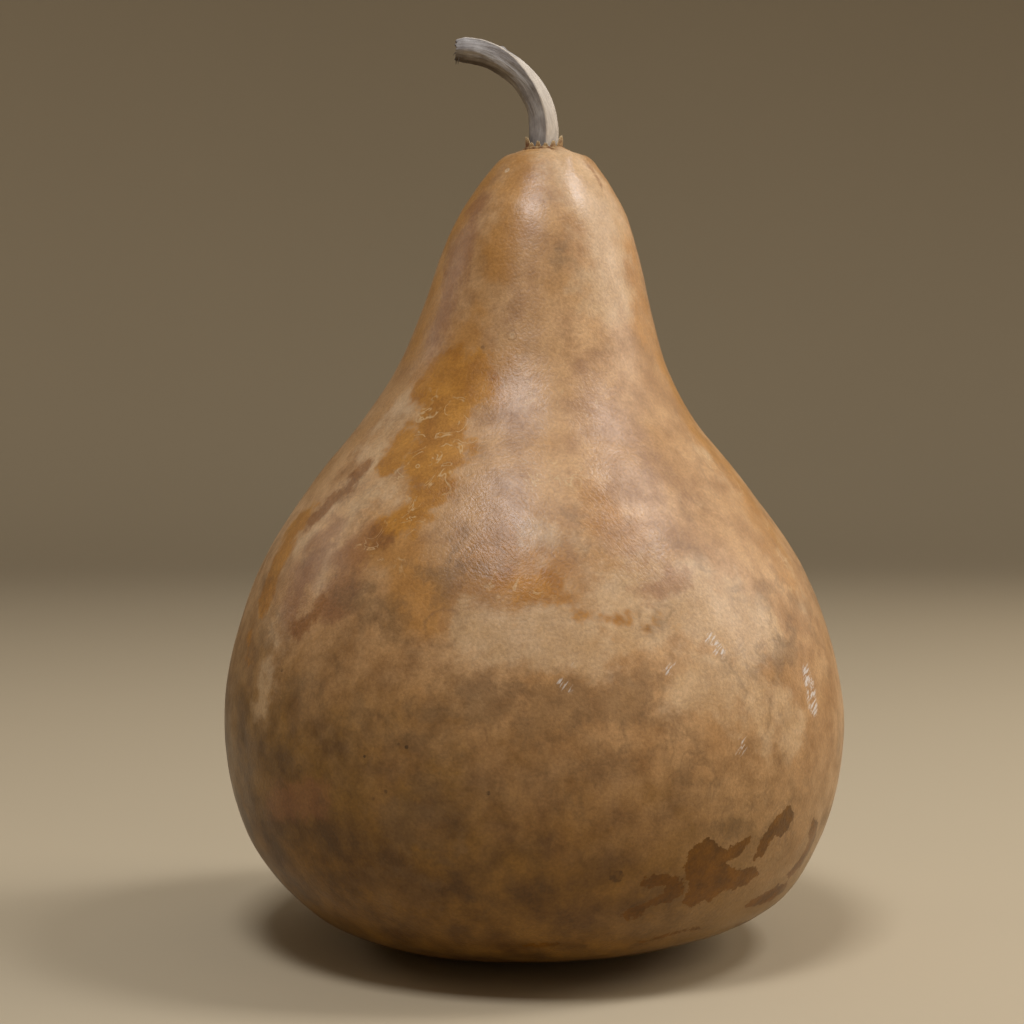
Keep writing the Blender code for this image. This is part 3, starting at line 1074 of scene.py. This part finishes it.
@dataclass(frozen=True)
class WeatheredStem:
    """Dead gourd stem: corky ribs of plant fibre that rain and sun have faded.

    To the eye it is matt grey wood, cream on the worn crests and on its lit side, which is partly
    painted light, and dark on its underside and foot with dirt and painted shade.
    """

    grey: str = "#a19a92"
    shade: str = "#7a7169"
    cream: str = "#cdbfab"
    dirt_and_shade_colour: str = "#3b2c1c"
    roughness: float = 0.78
    fibre: float = 0.35      # mm from strand to strand

    def material(self) -> bpy.types.Material:
        """Write the stem's material.

        Returns:
            The material.
        """
        r = Recipe("weathered_stem_fibre")
        strands = r.add("Attribute", out="Vector", attribute_name="strands")
        crest = r.add("Attribute", out="Fac", attribute_name="crest")
        bleached_and_lit = r.add("Attribute", out="Fac", attribute_name="bleached_and_lit")
        dirt_and_shade = r.add("Attribute", out="Fac", attribute_name="dirt_and_shade")
        wide = r.add("TexNoise", {"Vector": strands, "Scale": 1 / 1.6, "Detail": 3.0})
        fine = r.add("TexNoise", {"Vector": strands, "Scale": 1 / self.fibre, "Detail": 3.0,
                                  "Roughness": 0.6})
        cloud = r.add("TexNoise", {"Scale": 1 / 4.0, "Detail": 3.0})
        tone = r.add("Math", {0: wide, 1: cloud}, operation="ADD")
        tone = r.add("MapRange", {"Value": tone, "From Min": 0.8, "From Max": 1.2})
        colour = r.add("Mix", {"Factor": tone, "A": self.grey, "B": self.shade}, data_type="RGBA")
        # cream on the worn crests, and on the lit side as painted light
        pale = r.add("Math", {0: bleached_and_lit, 1: crest}, operation="MAXIMUM")
        pale = r.add("Math", {0: wide, 1: 0.5, 2: pale}, operation="MULTIPLY_ADD")
        pale = r.add("MapRange", {"Value": pale, "From Min": 0.45, "From Max": 0.95, "To Max": 0.9})
        colour = r.add("Mix", {"Factor": pale, "A": colour, "B": self.cream}, data_type="RGBA")
        # darker underside, foot and cut: dirt and painted shade
        dark = r.add("MapRange", {"Value": dirt_and_shade, "To Max": 0.85})
        colour = r.add("Mix", {"Factor": dark, "A": colour, "B": self.dirt_and_shade_colour}, data_type="RGBA")
        streak = r.add("MapRange", {"Value": fine, "From Min": 0.3, "From Max": 0.7,
                                    "To Min": 0.8, "To Max": 1.12})
        colour = r.add("VectorMath", {0: colour, "Scale": streak}, operation="SCALE")
        rough = r.add("MapRange", {"Value": wide, "To Min": self.roughness - 0.08,
                                   "To Max": self.roughness + 0.1})
        bump = r.add("Bump", {"Strength": 1.0, "Distance": 0.16 * MM, "Height": fine})
        return r.finish(Base_Color=colour, Roughness=rough, IOR=1.5, Normal=bump)


@dataclass(frozen=True)
class TornFibre:
    """A fibre left hanging from the cut: its turn round the rim, and its sizes in mm."""

    turn: float
    set_back: float
    length: float
    droop: float             # 0 runs on along the stem, 1 hangs straight down
    width: float


@dataclass(frozen=True)
class Bark:
    """The stem's side, laid out in rows along it and columns round it."""

    share: np.ndarray        # of the stem's length
    turn: np.ndarray         # radians round the section
    strands: np.ndarray      # the place in the straightened stem, squeezed 8 times along the fibres
    past_ridge: np.ndarray   # degrees past the first ridge
    between: np.ndarray      # 0 on a ridge, 1 half way to the next
    beside: np.ndarray       # degrees from the first ridge, on either side
    beneath: np.ndarray      # degrees from the stem's underside, on either side


@dataclass
class Stem:
    """The stem: it rises from the crown and bends over in one round sweep, on five ridges."""

    node: str = "stem"
    rise: float = 4.5
    bend_radius: float = 22.3
    bend: float = math.radians(86)
    tail: float = 2.8
    radii: tuple[tuple[float, float], ...] = (
        (0.0, 3.9), (0.25, 3.8), (0.6, 3.5), (0.85, 3.45), (0.95, 3.3), (1.0, 2.75))
    ridges: int = 5
    ridge_height: float = 0.07      # of the radius
    first_ridge: tuple[tuple[float, float], ...] = (
        (0.0, -82), (0.3, -78), (0.5, -68), (0.75, -38), (1.0, -15))      # (share, turn)
    rows: int = 190
    columns: int = 90
    cut_rows: int = 9
    knob: tuple[float, float, float] = (0.72, 6.1, 0.55)        # share, turn in radians, rise
    foot_swell: float = 0.4         # on its underside
    hollow: float = 0.9             # how deep the cut has dried in
    torn_fibres: tuple[TornFibre, ...] = (
        TornFibre(240, 0.4, 1.3, 0.35, 0.3), TornFibre(222, 1.2, 2.2, 0.75, 0.35),
        TornFibre(205, 0.6, 1.7, 0.8, 0.3), TornFibre(214, 3.2, 1.2, 0.8, 0.4),
        TornFibre(230, 2.2, 1.1, 0.9, 0.3), TornFibre(170, 0.9, 1.4, 0.6, 0.3))
    fibre_rows: int = 6
    finish: WeatheredStem = field(default_factory=WeatheredStem)

    def length(self) -> float:
        """Add up the length of the middle line in mm."""
        return self.rise + self.bend_radius * self.bend + self.tail

    def middle_line(self, share: np.ndarray) -> tuple[np.ndarray, np.ndarray]:
        """Follow the stem's middle line.

        Args:
            share: Shares of its length.

        Returns:
            The places in mm, and the way that the stem points there.
        """
        sweep = self.bend_radius * self.bend
        along = share * self.length()
        bent = np.clip((along - self.rise) / self.bend_radius, 0.0, self.bend)
        straight = np.maximum(along - self.rise - sweep, 0.0)
        x = -self.bend_radius * (1 - np.cos(bent)) - straight * np.sin(bent)
        z = np.minimum(along, self.rise) + self.bend_radius * np.sin(bent) + straight * np.cos(bent)
        direction = np.stack([-np.sin(bent), 0 * bent, np.cos(bent)], axis=1)
        foot = self.foot()
        return np.stack([foot[0] + x, np.full_like(x, foot[1]), foot[2] + z], axis=1), direction

    def foot(self) -> np.ndarray:
        """Find the middle of the stem's foot, inside the collar.

        Returns:
            The place in mm.
        """
        low, high = (np.array(corner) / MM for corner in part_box("stem_collar"))
        return np.array([(low[0] + high[0]) / 2, (low[1] + high[1]) / 2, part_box(self.node)[0][2] / MM])

    def bark(self) -> Bark:
        """Lay out the stem's side and find how each place lies to the ridges.

        Returns:
            The side.
        """
        share, turn = np.meshgrid(np.linspace(0, 1, self.rows),
                                  np.arange(self.columns) * math.tau / self.columns, indexing="ij")
        strands = np.stack([4 * np.cos(turn), 4 * np.sin(turn), share * self.length() / 8], axis=2)
        first_ridge = np.radians(np.interp(share, *np.array(self.first_ridge).T))
        past_ridge = np.degrees(turn - first_ridge) % 360
        return Bark(
            share=share,
            turn=turn,
            strands=strands,
            past_ridge=past_ridge,
            between=np.abs(np.sin(self.ridges / 2 * (turn - first_ridge))),
            beside=np.abs((past_ridge + 180) % 360 - 180),
            beneath=np.abs(np.degrees(turn) % 360 - 180),
        )

    def reach(self, bark: Bark) -> np.ndarray:
        """Find how far the side stands out from the middle line.

        Args:
            bark: The side.

        Returns:
            Distances in mm.
        """
        crest = (1 - bark.between) ** 1.4 * (0.45 + 0.55 * ramp(bark.beside, 55, 30))
        ridge = self.ridge_height * (2.2 * crest - 0.9)
        reach = np.interp(bark.share, *np.array(self.radii).T) * (1 + ridge)
        reach += 0.12 * rough_noise(bark.strands, 0.9, 3, 11.0)
        reach += 0.13 * rough_noise(bark.strands * (1, 1, 3), 2.4, 2, 12.0)
        knob_share, knob_turn, knob_rise = self.knob
        along = (bark.share - knob_share) ** 2 * self.length() ** 2
        around = (3.6 * (bark.turn % math.tau - knob_turn)) ** 2
        reach += knob_rise * np.exp(-(along + around) / 0.9)
        return reach + self.foot_swell * ramp(bark.share, 0.4, 0.0) * ramp(bark.beneath, 120, 40)

    def side(self, bark: Bark, middle: np.ndarray, direction: np.ndarray) -> np.ndarray:
        """Sweep the ridged section along the middle line, up to a ragged rim.

        Args:
            bark: The side.
            middle: The middle line's places in mm, one a row.
            direction: The way that the stem points there.

        Returns:
            Rows of points in mm.
        """
        ragged = 0.5 * rough_noise(bark.strands * (1, 1, 0), 1.3, 3, 13.0)
        past = ramp(bark.share, 0.9, 1.0) * ragged
        reach = self.reach(bark)
        outward = np.cross(ACROSS, direction)
        grid = middle[:, None] + past[..., None] * direction[:, None]
        grid = grid + (reach * np.cos(bark.turn))[..., None] * outward[:, None]
        return grid + (reach * np.sin(bark.turn))[..., None] * ACROSS

    def cut(
        self, rim: np.ndarray, strands: np.ndarray, middle: np.ndarray, direction: np.ndarray
    ) -> np.ndarray:
        """Close the stem with its rough cut, which has dried hollow.

        Args:
            rim: The last row of the side in mm.
            strands: Where its fibres lie across the section.
            middle: The end of the middle line.
            direction: The way that the stem points there.

        Returns:
            Rows of points in mm that close in on the middle.
        """
        centre = middle + 0.1 * direction
        rings = []
        for k in range(1, self.cut_rows):
            inward = k / self.cut_rows
            sunk = self.hollow * ramp(np.array(inward), 0.1, 0.75)
            depth = 0.3 * rough_noise(strands * (1 - inward), 0.8, 3, 14.0) - sunk
            rings.append(rim + inward * (centre - rim) + depth[:, None] * direction)
        return np.array(rings)

    def shreds(self, rim: np.ndarray, direction: np.ndarray) -> tuple[np.ndarray, Faces]:
        """Hang a few torn fibres from the lower rim of the cut.

        Args:
            rim: The cut's rim in mm.
            direction: The way that the stem points there.

        Returns:
            Their points and faces.
        """
        points: list[np.ndarray] = []
        faces: Faces = []
        for fibre in self.torn_fibres:
            column = round(fibre.turn / 360 * self.columns) % self.columns
            root = rim[column] - fibre.set_back * direction + 0.35 * UP
            start = len(points)
            faces += renumbered(tube_faces(self.fibre_rows, 3), start)
            faces.append((start + 2, start + 1, start))
            for row in range(self.fibre_rows):
                share = row / (self.fibre_rows - 1)
                along = direction * (1 - fibre.droop) - fibre.droop * UP
                place = root + share * fibre.length * along - 0.4 * fibre.length * share ** 2 * UP
                half = fibre.width * (1 - share) ** 0.7 + 0.03
                points += [place + half * ACROSS, place + half * direction, place - half * ACROSS]
            faces.append(tuple(range(len(points) - 3, len(points))))
        return np.array(points), faces

    def fields(self, bark: Bark) -> dict[str, tuple[np.ndarray, float]]:
        """Find where the stem is worn on its crests, where its lit side is cream, partly as painted light,
        and where it is dark: its underside and foot with dirt and painted shade, and its cut end.

        Args:
            bark: The side.

        Returns:
            For each field its values on the side, and its one value on the cut.
        """
        crest = ramp(1 - bark.between, 0.72, 0.97) * (0.15 + 0.85 * ramp(bark.beside, 40, 20))
        # the side just past the first ridge faces the light: its cream is partly painted light
        bleached_and_lit = ramp(bark.past_ridge, -3, 3) * ramp(bark.past_ridge, 80, 60)
        bleached_and_lit = bleached_and_lit * ramp(bark.share, 0.8, 0.45)
        # darker on the underside towards the tip and at the foot: dirt and painted shade
        dirt_and_shade = ramp(bark.beneath, 60, 22) * ramp(bark.share, 0.4, 0.75)
        dirt_and_shade = np.maximum(dirt_and_shade, 0.45 * ramp(bark.share, 0.05, 0.0))
        return {"crest": (crest, 0.1), "bleached_and_lit": (bleached_and_lit, 0.0), "dirt_and_shade": (dirt_and_shade, 0.75)}

    def build(self) -> bpy.types.Object:
        """Join the side, the cut and its torn fibres, and dress them.

        Returns:
            The finished stem.
        """
        bark = self.bark()
        middle, direction = self.middle_line(bark.share[:, 0])
        side = self.side(bark, middle, direction)
        cut = self.cut(side[-1], bark.strands[0], middle[-1], direction[-1])
        tube = with_ends(np.concatenate([side, cut]))
        shreds, shred_faces = self.shreds(side[-1], direction[-1])
        points = np.concatenate([tube, shreds])
        faces = closed_faces(len(side) + len(cut), self.columns) + renumbered(shred_faces, len(tube))
        piece = new_mesh("stem_ridged", points, faces)
        beyond = points[bark.share.size:]
        for name, (values, cut_value) in self.fields(bark).items():
            set_field(piece, name, np.append(values, np.full(len(beyond), cut_value)))
        set_field(piece, "strands", np.concatenate([bark.strands.reshape(-1, 3), 0.5 * beyond]))
        piece.data.materials.append(self.finish.material())
        fit_to_body(piece, self.node)
        return piece


# ---------------------------------------------------------------- the collar

@dataclass(frozen=True)
class DryScale:
    """Dead leaf scale: a papery brown flake of old sepal, curled as it dried.

    To the eye it is matt tan bark, red-brown in patches and pale along its torn edge.
    """

    tan: str = "#a98758"
    brown: str = "#7a5230"
    edge: str = "#bfa477"
    roughness: float = 0.8

    def material(self) -> bpy.types.Material:
        """Write the scales' material.

        Returns:
            The material.
        """
        r = Recipe("papery_dry_scale")
        height = r.add("Attribute", out="Fac", attribute_name="scale_height")
        patch = r.add("TexNoise", {"Scale": 1 / 1.8, "Detail": 4.0, "Roughness": 0.65})
        grain = r.add("TexNoise", {"Scale": 1 / 0.35, "Detail": 3.0})
        patchy = r.add("MapRange", {"Value": patch, "From Min": 0.4, "From Max": 0.6})
        colour = r.add("Mix", {"Factor": patchy, "A": self.tan, "B": self.brown}, data_type="RGBA")
        torn = r.add("Math", {0: patch, 1: 0.6, 2: height}, operation="MULTIPLY_ADD")
        torn = r.add("MapRange", {"Value": torn, "From Min": 0.85, "From Max": 1.25, "To Max": 0.85})
        colour = r.add("Mix", {"Factor": torn, "A": colour, "B": self.edge}, data_type="RGBA")
        tone = r.add("MapRange", {"Value": grain, "From Min": 0.3, "From Max": 0.7,
                                  "To Min": 0.78, "To Max": 1.12})
        colour = r.add("VectorMath", {0: colour, "Scale": tone}, operation="SCALE")
        rough = r.add("MapRange", {"Value": grain, "To Min": self.roughness - 0.1,
                                   "To Max": self.roughness + 0.1})
        bump = r.add("Bump", {"Strength": 0.8, "Distance": 0.15 * MM, "Height": grain})
        return r.finish(Base_Color=colour, Roughness=rough, IOR=1.45, Normal=bump)


@dataclass(frozen=True)
class Scale:
    """One scale of the collar: its turn, how high it stands in mm, and its half width in degrees."""

    turn: float
    rise: float
    half_width: float


@dataclass
class Collar:
    """The collar: a lumpy ring round the stem's foot, and the dry scales that stand on it."""

    node: str = "stem_collar"
    inner: float = 4.6
    outer: float = 5.75
    base_height: float = 1.15
    ring_columns: int = 160
    ring_section: int = 14
    thickness: float = 0.45
    least_height: float = 0.35      # of a scale, at its sides
    inset: float = 0.2              # of the scales, from the ring's middle
    scale_rows: int = 9
    scale_columns: int = 15
    scales: tuple[Scale, ...] = (
        Scale(-32, 2.8, 26), Scale(44, 1.1, 24), Scale(95, 1.9, 24), Scale(141, 0.8, 18),
        Scale(208, 2.5, 24), Scale(228, 0.9, 15), Scale(250, 1.2, 14), Scale(273, 0.7, 13),
        Scale(296, 1.3, 15), Scale(318, 0.7, 14))
    finish: DryScale = field(default_factory=DryScale)

    def ring(self, middle: np.ndarray) -> tuple[np.ndarray, Faces, np.ndarray]:
        """Make the low lumpy ring.

        Args:
            middle: The middle of the collar's foot in mm.

        Returns:
            Its points, its faces and how high up the collar each point is.
        """
        around, section = self.ring_columns, self.ring_section
        turn, part = np.meshgrid(np.arange(around) * math.tau / around,
                                 np.arange(section) * math.tau / section, indexing="ij")
        half = (self.outer - self.inner) / 2
        lump = rough_noise(np.stack([5 * np.cos(turn), 5 * np.sin(turn), 0 * turn], axis=2), 1.4, 3, 21.0)
        lift = np.maximum(np.sin(part), 0.0)
        radius = self.inner + half - half * np.cos(part) * (1 + 0.15 * lump)
        z = self.base_height * (0.75 + 0.3 * lump) * lift
        points = np.stack([radius * np.cos(turn), radius * np.sin(turn), z], axis=2) + middle
        faces = []
        for a in range(around):
            b = (a + 1) % around
            for s in range(section):
                t = (s + 1) % section
                faces.append((a * section + s, a * section + t, b * section + t, b * section + s))
        return points.reshape(-1, 3), faces, 0.1 * lift.ravel()

    def scale(self, scale: Scale, middle: np.ndarray, seed: float) -> tuple[np.ndarray, Faces, np.ndarray]:
        """Make one curled scale with a torn top.

        Args:
            scale: Its size and turn.
            middle: The middle of the collar's foot in mm.
            seed: Makes its tear its own, and sets it a little before or behind its neighbours.

        Returns:
            Its points, its faces and how high up the scale each point is.
        """
        rows, columns = self.scale_rows, self.scale_columns
        across = np.linspace(-1, 1, columns)
        torn = rough_noise(np.stack([across * 2.2, 0 * across, 0 * across], axis=1), 0.55, 3, seed)
        tip = (1 - np.abs(across) ** 2.2) * (1 + 0.3 * torn)
        tall = self.base_height + scale.rise - self.least_height
        up = np.linspace(0, 1, rows)[:, None]
        z = up * (self.least_height + tall * np.clip(tip, 0.06, 1.0))
        half = math.radians(scale.half_width) * (1 - 0.25 * up)
        turn = math.radians(scale.turn) + half * across
        curl = 0.02 * z ** 2 + 0.08 * z * torn
        stagger = 0.1 * seed % 0.3
        radius = 0.5 * (self.inner + self.outer) - self.inset + stagger + curl
        thin = self.thickness * (1 - 0.6 * up) / 2
        sides = []
        for reach in (radius + thin, radius - thin):
            sides.append(np.stack([reach * np.cos(turn), reach * np.sin(turn), z], axis=2))
        points = np.concatenate([side.reshape(-1, 3) for side in sides]) + middle
        return points, self.scale_faces(), np.tile((up + 0 * turn).ravel(), 2)

    def scale_faces(self) -> Faces:
        """Join a scale's outer side, its inner side and the edge between them.

        Returns:
            The faces, for the points of the outer side and then the inner side.
        """
        rows, columns = self.scale_rows, self.scale_columns
        count = rows * columns
        faces = []
        for row in range(rows - 1):
            for column in range(columns - 1):
                a = row * columns + column
                b = count + a
                faces.append((a, a + 1, a + columns + 1, a + columns))
                faces.append((b, b + columns, b + columns + 1, b + 1))
        border = list(range(columns)) + [row * columns + columns - 1 for row in range(1, rows)]
        border += [count - 2 - column for column in range(columns - 1)]
        border += [row * columns for row in range(rows - 2, 0, -1)]
        faces += [(a, a + count, b + count, b) for a, b in zip(border, border[1:] + border[:1])]
        return faces

    def build(self) -> bpy.types.Object:
        """Set the scales on the ring and dress them.

        Returns:
            The finished collar.
        """
        low, high = (np.array(corner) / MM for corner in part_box(self.node))
        middle = np.array([(low[0] + high[0]) / 2, (low[1] + high[1]) / 2, low[2]])
        parts = [self.ring(middle)]
        for number, scale in enumerate(self.scales):
            parts.append(self.scale(scale, middle, 30.0 + number))
        faces: Faces = []
        start = 0
        for part_points, part_faces, _ in parts:
            faces += renumbered(part_faces, start)
            start += len(part_points)
        piece = new_mesh("stem_collar_scales", np.concatenate([part[0] for part in parts]), faces)
        set_field(piece, "scale_height", np.concatenate([part[2] for part in parts]))
        piece.data.materials.append(self.finish.material())
        fit_to_body(piece, self.node)
        return piece


# ---------------------------------------------------------------- the studio

@dataclass(frozen=True)
class Lamp:
    """A soft square light: where it stands from the fruit's middle, its size, power and tint."""

    name: str
    toward: tuple[float, float, float]
    distance: float          # metres
    size: float              # metres
    power: float             # watts
    tint: str


@dataclass
class Studio:
    """A pale floor that turns up far away, soft daylight and the camera."""

    floor_colour: str = "#bdab8b"
    floor_radius: float = 3.0        # metres
    floor_lift: float = 1.6          # metres, at its rim
    daylight: float = 0.12
    daylight_tint: str = "#fff0dc"
    lamps: tuple[Lamp, ...] = (
        Lamp("window_high", (-0.12, -0.45, 0.88), 1.3, 0.32, 9.5, "#eef3ff"),
        Lamp("window_right_high", (0.55, -0.1, 0.82), 1.3, 0.27, 6.4, "#eef3ff"),
        Lamp("skylight", (0.0, 0.3, 0.95), 1.4, 1.2, 1.0, "#f4f6ff"),
        Lamp("window_right", (0.89, 0.03, 0.46), 1.3, 0.6, 5.5, "#fbf8f4"),
        Lamp("room_front", (0.6, -0.75, 0.3), 1.6, 1.3, 2.4, "#fff0de"),
        Lamp("room_behind", (0.75, 0.55, 0.35), 1.3, 0.8, 1.6, "#ffeeda"),
        Lamp("window_left", (-0.85, 0.32, 0.42), 1.3, 0.4, 1.0, "#fff4e8"),
    )
    eye: tuple[float, float, float] = (-4.54, -574.0, 140.4)      # mm
    tilt: float = 2.443      # degrees down
    lens: float = 75.0       # mm
    sensor: float = 36.0     # mm

    def build(self) -> None:
        """Set the floor, the lights and the camera."""
        self.floor()
        self.light()
        self.camera()

    def floor(self) -> None:
        """Spread a round pale floor under the fruit, turned up smoothly at its rim."""
        across, rings = 96, 40
        share = np.linspace(0, 1, rings + 1)[1:]
        radius = self.floor_radius * share
        height = self.floor_lift * ramp(share, 0.45, 1.0) ** 2
        turn = np.arange(across) * math.tau / across
        x = radius[:, None] * np.cos(turn)
        y = radius[:, None] * np.sin(turn)
        z = height[:, None] + 0 * x
        points = np.concatenate([np.stack([x, y, z], axis=2).reshape(-1, 3), [[0.0, 0.0, 0.0]]]) / MM
        middle = rings * across
        faces = [tuple(reversed(face)) for face in tube_faces(rings, across)]
        faces += [(middle, column, (column + 1) % across) for column in range(across)]
        sheet = new_mesh("studio_floor", points, faces)
        r = Recipe("matt_paper_sweep")
        cloud = r.add("TexNoise", {"Scale": 1 / 400, "Detail": 2.0})
        tone = r.add("MapRange", {"Value": cloud, "To Min": 0.97, "To Max": 1.03})
        colour = r.add("VectorMath", {0: linear(self.floor_colour)[:3], "Scale": tone}, operation="SCALE")
        sheet.data.materials.append(r.finish(Base_Color=colour, Roughness=0.85))

    def light(self) -> None:
        """Hang the soft lights and fill the room with faint warm daylight."""
        scene = bpy.context.scene
        world = bpy.data.worlds.new("daylight")
        world.use_nodes = True
        background = world.node_tree.nodes["Background"]
        background.inputs["Color"].default_value = linear(self.daylight_tint)
        background.inputs["Strength"].default_value = self.daylight
        scene.world = world
        low, high = (Vector(corner) for corner in CAD_BOX)
        target = (low + high) / 2
        for lamp in self.lamps:
            data = bpy.data.lights.new(lamp.name, "AREA")
            data.size = lamp.size
            data.energy = lamp.power
            data.color = linear(lamp.tint)[:3]
            light = bpy.data.objects.new(lamp.name, data)
            away = Vector(lamp.toward).normalized()
            light.location = target + lamp.distance * away
            light.rotation_euler = away.to_track_quat("Z", "Y").to_euler()
            scene.collection.objects.link(light)

    def camera(self) -> None:
        """Stand the camera in front, a little above the belly."""
        scene = bpy.context.scene
        data = bpy.data.cameras.new("camera")
        data.lens = self.lens
        data.sensor_width = self.sensor
        camera = bpy.data.objects.new("camera", data)
        camera.location = Vector(self.eye) * MM
        camera.rotation_euler = (math.radians(90 - self.tilt), 0.0, 0.0)
        scene.collection.objects.link(camera)
        scene.camera = camera
        scene.view_settings.view_transform = "Standard"


def main() -> None:
    """Build the pieces in order, then the studio."""
    logging.basicConfig(level=logging.INFO, format="%(name)s %(message)s")
    for maker in (Fruit(), Stem(), Collar()):
        piece = maker.build()
        LOG.info("%s is ready: %d faces", piece.name, len(piece.data.polygons))
    Studio().build()


if __name__ == "__main__":
    main()
